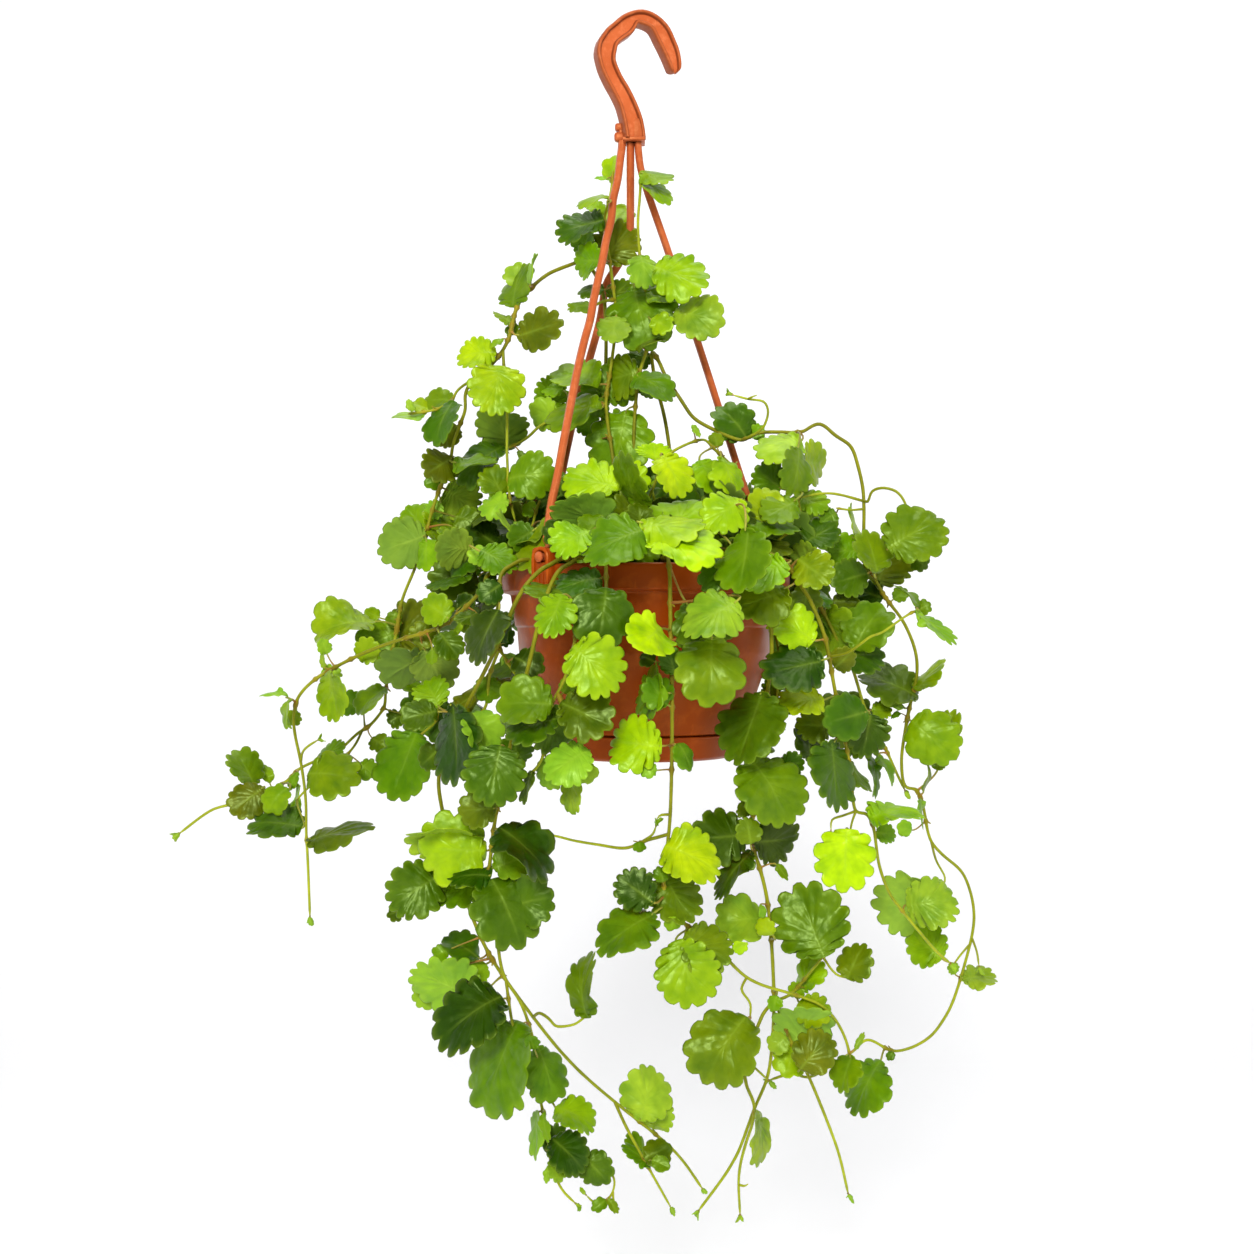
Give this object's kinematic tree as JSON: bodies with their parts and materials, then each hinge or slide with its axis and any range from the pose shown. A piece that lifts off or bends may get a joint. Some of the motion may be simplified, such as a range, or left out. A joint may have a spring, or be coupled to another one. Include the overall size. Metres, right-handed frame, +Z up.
{
  "type": "potted trailing plant",
  "caption": "Trailing foliage plant with round scalloped leaves in a hanging plastic pot with drip saucer and a three-legged hook hanger.",
  "frame": {"origin": "the point inside the top of the hook that bears on whatever carries the plant", "axes": "+Z up along the way it hangs; -Y towards the viewer of the picture, +X to that viewer's right"},
  "size_m": [0.4313, 0.2495, 0.6187],
  "materials": {
    "hanger_plastic": "satin light terracotta orange, slightly translucent at thin edges",
    "pot_plastic": "satin terracotta brown with soft highlights",
    "saucer_plastic": "satin terracotta brown",
    "soil": "dark crumbly potting soil",
    "foliage": "glossy fresh green leaves and olive stems"
  },
  "bodies": {
    "root": {"hanger": "hanger_plastic", "pot": "pot_plastic", "drip_saucer": "saucer_plastic", "soil": "soil", "vine_hanger_climber": "foliage", "vine_hanger_climber_right": "foliage", "vine_left_arch": "foliage", "vine_left_trail": "foliage", "vine_left_bush_upper": "foliage", "vine_left_bush_lower": "foliage", "vine_left_bush_rim": "foliage", "vine_lower_left_trail": "foliage", "vine_lower_left_trail_inner": "foliage", "vine_front_left": "foliage", "vine_front_left_rim": "foliage", "vine_young_centre": "foliage", "vine_young_right": "foliage", "vine_front_centre": "foliage", "vine_right_bush_front": "foliage", "vine_right_bush_back": "foliage", "vine_right_arch": "foliage", "vine_right_trail": "foliage", "vine_back_01": "foliage", "vine_back_02": "foliage", "vine_back_03": "foliage", "vine_back_04": "foliage", "vine_back_05": "foliage", "vine_back_06": "foliage", "vine_back_07": "foliage", "vine_back_08": "foliage", "vine_back_09": "foliage", "vine_back_10": "foliage", "vine_back_11": "foliage", "vine_crown_01": "foliage", "vine_crown_02": "foliage", "vine_crown_03": "foliage", "vine_crown_04": "foliage", "vine_crown_05": "foliage", "vine_crown_06": "foliage", "vine_crown_07": "foliage", "vine_crown_08": "foliage", "vine_crown_09": "foliage", "vine_crown_10": "foliage"}
  },
  "joints": []
}
